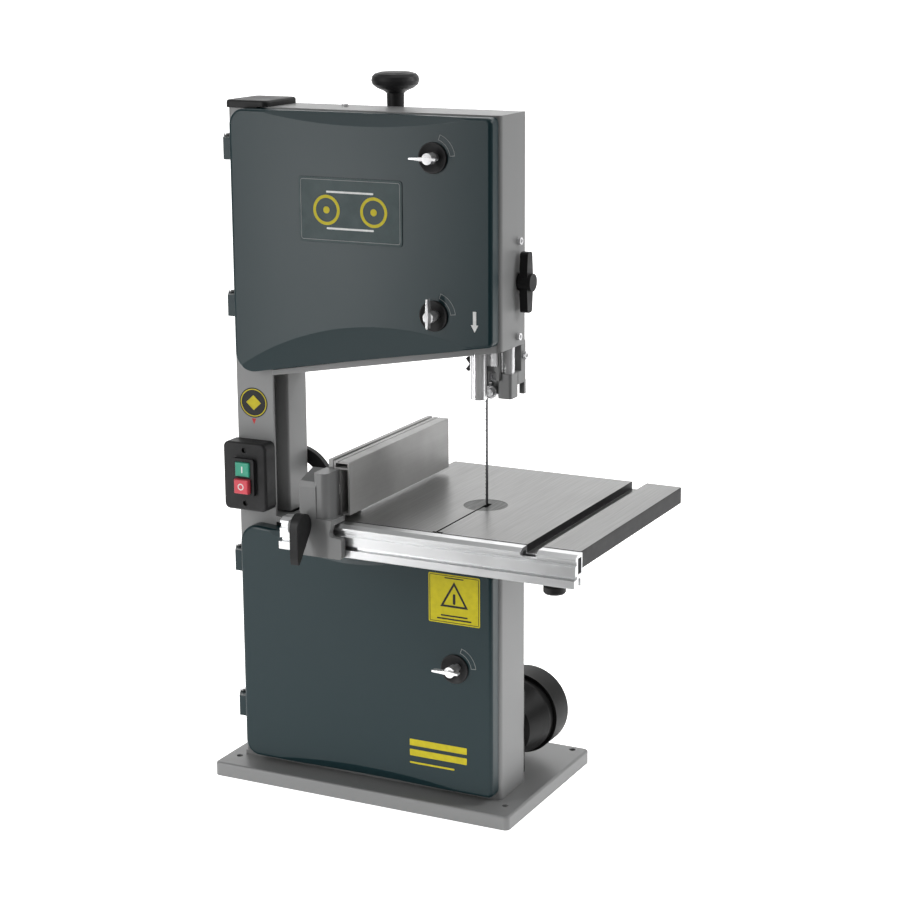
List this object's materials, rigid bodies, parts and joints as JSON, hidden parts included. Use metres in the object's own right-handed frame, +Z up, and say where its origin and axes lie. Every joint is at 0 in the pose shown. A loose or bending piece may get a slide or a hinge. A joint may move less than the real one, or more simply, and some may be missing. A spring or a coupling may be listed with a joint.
{
  "type": "bench band saw",
  "caption": "Upright bench saw with an endless vertical blade over stacked wheels behind hinged doors, a tilting slotted table, a sliding fence and a rear motor.",
  "frame": {"origin": "centre of the base plate's underside", "axes": "+X to the right seen from the doors' side, +Y to the back, +Z up; the doors face -Y"},
  "size_m": [0.4985, 0.3651, 0.8423],
  "materials": {
    "frame_paint": "semi-gloss light grey powder coat",
    "door_paint": "satin dark green-grey moulding",
    "black_plastic": "matte black moulding",
    "chrome": "polished chrome plate",
    "bright_aluminium": "bright drawn extrusion",
    "fence_aluminium": "satin anodised extrusion",
    "table_casting": "ground casting, satin top and rough sides",
    "insert_metal": "satin die casting",
    "carrier_casting": "satin grey painted casting",
    "wheel_casting": "machined casting",
    "motor_paint": "satin black paint",
    "bare_steel": "machined steel",
    "blade_steel": "rolled spring steel",
    "wheel_rubber": "dusty rubber",
    "belt_rubber": "ribbed rubber",
    "red_plastic": "glossy red moulding",
    "green_plastic": "glossy green moulding"
  },
  "bodies": {
    "frame": {"base_plate": "frame_paint", "column": "frame_paint", "column_cap": "black_plastic", "upper_housing": "frame_paint", "lower_housing": "frame_paint", "return_blade_guard": "frame_paint", "hinge_pins": "bare_steel", "latch_keepers": "frame_paint", "tension_bracket": "frame_paint", "guide_block": "frame_paint", "blade": "blade_steel", "drive_belt": "belt_rubber", "lower_shaft": "bare_steel", "motor_body": "motor_paint", "motor_cowl": "motor_paint", "cable_gland": "black_plastic", "switch_box": "black_plastic", "trunnion_cradle": "frame_paint", "dust_port": "frame_paint", "push_stick": "black_plastic", "housing_screws": "bare_steel", "tension_spring": "bare_steel"},
    "upper_door": {"upper_door": "door_paint"},
    "lower_door": {"lower_door": "door_paint"},
    "latch_top": {"latch_top": "chrome"},
    "latch_middle": {"latch_middle": "chrome"},
    "latch_lower": {"latch_lower": "chrome"},
    "tension_carriage": {"tension_slide": "bare_steel"},
    "wheel_yoke": {"wheel_yoke": "bare_steel", "upper_shaft": "bare_steel"},
    "upper_wheel": {"upper_wheel": "wheel_casting", "upper_tyre": "wheel_rubber", "upper_bearings": "bare_steel"},
    "lower_wheel": {"lower_wheel": "wheel_casting", "lower_tyre": "wheel_rubber", "lower_bearings": "bare_steel"},
    "motor_rotor": {"motor_rotor": "bare_steel", "motor_pulley": "wheel_casting"},
    "tension_knob": {"tension_knob": "black_plastic"},
    "tracking_knob": {"tracking_knob": "black_plastic"},
    "guide_carriage": {"guide_post": "bare_steel", "guide_bracket": "carrier_casting", "guide_fasteners": "bare_steel", "blade_guard": "chrome"},
    "side_roller_left": {"side_roller_left": "bare_steel"},
    "side_roller_right": {"side_roller_right": "bare_steel"},
    "thrust_roller": {"thrust_roller": "bare_steel"},
    "thumb_screw": {"thumb_screw": "black_plastic"},
    "guide_lock_knob": {"guide_lock_knob": "black_plastic"},
    "table": {"table": "table_casting", "table_insert": "insert_metal", "table_trunnions": "table_casting", "front_rail": "bright_aluminium"},
    "rail_clamp_knob": {"rail_clamp_knob": "black_plastic"},
    "tilt_lock_knob": {"tilt_lock_knob": "black_plastic"},
    "fence": {"fence": "fence_aluminium", "fence_carrier": "carrier_casting"},
    "fence_lever": {"fence_lever": "black_plastic"},
    "green_button": {"green_button": "green_plastic"},
    "red_button": {"red_button": "red_plastic"}
  },
  "joints": [
    {"name": "upper_door_hinge", "type": "hinge", "parent": "frame", "child": "upper_door", "pos_m": [-0.1804, -0.074, 0.66], "axis": [0, 0, -1], "range_deg": [0, 110]},
    {"name": "lower_door_hinge", "type": "hinge", "parent": "frame", "child": "lower_door", "pos_m": [-0.1804, -0.074, 0.175], "axis": [0, 0, -1], "range_deg": [0, 110]},
    {"name": "latch_top_turn", "type": "hinge", "parent": "upper_door", "child": "latch_top", "pos_m": [0.0958, -0.09, 0.7576], "axis": [0, -1, 0], "range_deg": [0, 90]},
    {"name": "latch_middle_turn", "type": "hinge", "parent": "upper_door", "child": "latch_middle", "pos_m": [0.0956, -0.09, 0.5837], "axis": [0, -1, 0], "range_deg": [0, 90]},
    {"name": "latch_lower_turn", "type": "hinge", "parent": "lower_door", "child": "latch_lower", "pos_m": [0.1193, -0.09, 0.1764], "axis": [0, -1, 0], "range_deg": [0, 90]},
    {"name": "tension_lift", "type": "slide", "parent": "frame", "child": "tension_carriage", "axis": [0, 0, 1], "range_m": [-0.006, 0], "deforming": ["tension_spring"]},
    {"name": "tension_knob_turn", "type": "hinge", "parent": "frame", "child": "tension_knob", "pos_m": [0.0012, -0.003, 0.8], "axis": [0, 0, 1], "range_deg": [-1440.5, 0.5]},
    {"name": "tracking_tilt", "type": "hinge", "parent": "tension_carriage", "child": "wheel_yoke", "pos_m": [0.0012, -0.004, 0.662], "axis": [1, 0, 0], "range_deg": [0, 1]},
    {"name": "tracking_knob_turn", "type": "hinge", "parent": "tension_carriage", "child": "tracking_knob", "pos_m": [0.0012, 0.02, 0.696], "axis": [0, 1, 0], "range_deg": [-0.5, 171.5]},
    {"name": "lower_wheel_spin", "type": "hinge", "parent": "frame", "child": "lower_wheel", "pos_m": [0.0012, -0.029, 0.16], "axis": [0, 1, 0], "continuous": true},
    {"name": "upper_wheel_spin", "type": "hinge", "parent": "wheel_yoke", "child": "upper_wheel", "pos_m": [0.0012, -0.029, 0.662], "axis": [0, 1, 0], "continuous": true},
    {"name": "motor_spin", "type": "hinge", "parent": "frame", "child": "motor_rotor", "pos_m": [0.1345, 0, 0.0784], "axis": [0, 1, 0], "continuous": true},
    {"name": "guide_slide", "type": "slide", "parent": "frame", "child": "guide_carriage", "axis": [0, 0, 1], "range_m": [-0.08, 0]},
    {"name": "guide_lock_turn", "type": "hinge", "parent": "frame", "child": "guide_lock_knob", "pos_m": [0.17, -0.029, 0.617], "axis": [1, 0, 0], "range_deg": [0, 120]},
    {"name": "side_roller_left_spin", "type": "hinge", "parent": "guide_carriage", "child": "side_roller_left", "pos_m": [0.1182, -0.029, 0.489], "axis": [0, 1, 0], "continuous": true},
    {"name": "side_roller_right_spin", "type": "hinge", "parent": "guide_carriage", "child": "side_roller_right", "pos_m": [0.1348, -0.029, 0.489], "axis": [0, 1, 0], "continuous": true},
    {"name": "thrust_roller_spin", "type": "hinge", "parent": "guide_carriage", "child": "thrust_roller", "pos_m": [0.1265, -0.0154, 0.5034], "axis": [1, 0, 0], "continuous": true},
    {"name": "thumb_screw_turn", "type": "hinge", "parent": "guide_carriage", "child": "thumb_screw", "pos_m": [0.105, -0.0162, 0.516], "axis": [1, 0, 0], "range_deg": [0, 180]},
    {"name": "table_tilt", "type": "hinge", "parent": "frame", "child": "table", "pos_m": [0.1265, -0.029, 0.3547], "axis": [0, 1, 0], "range_deg": [0, 45]},
    {"name": "tilt_lock_turn", "type": "hinge", "parent": "frame", "child": "tilt_lock_knob", "pos_m": [0.10984, 0.025, 0.32055], "axis": [0, 1, 0], "range_deg": [0, 180]},
    {"name": "rail_clamp_turn", "type": "hinge", "parent": "table", "child": "rail_clamp_knob", "pos_m": [0.2625, -0.14, 0.305], "axis": [0, 0, 1], "range_deg": [0, 270]},
    {"name": "fence_slide", "type": "slide", "parent": "table", "child": "fence", "axis": [-1, 0, 0], "range_m": [-0.082, 0]},
    {"name": "fence_lever_turn", "type": "hinge", "parent": "fence", "child": "fence_lever", "pos_m": [-0.017, -0.2046, 0.3555], "axis": [-1, 0, 0], "range_deg": [0, 80]},
    {"name": "green_press", "type": "slide", "parent": "frame", "child": "green_button", "axis": [0, 1, 0], "range_m": [0, 0.003], "stiffness_N_per_m": 400},
    {"name": "red_press", "type": "slide", "parent": "frame", "child": "red_button", "axis": [0, 1, 0], "range_m": [0, 0.003], "stiffness_N_per_m": 400}
  ],
  "couplings": [
    {"joint": "tension_knob_turn", "follows": "tension_lift", "rad_per_m": 4188.8},
    {"joint": "tracking_knob_turn", "follows": "tracking_tilt", "ratio": 171},
    {"joint": "upper_wheel_spin", "follows": "lower_wheel_spin", "ratio": 1},
    {"joint": "motor_spin", "follows": "lower_wheel_spin", "ratio": 1.3}
  ]
}
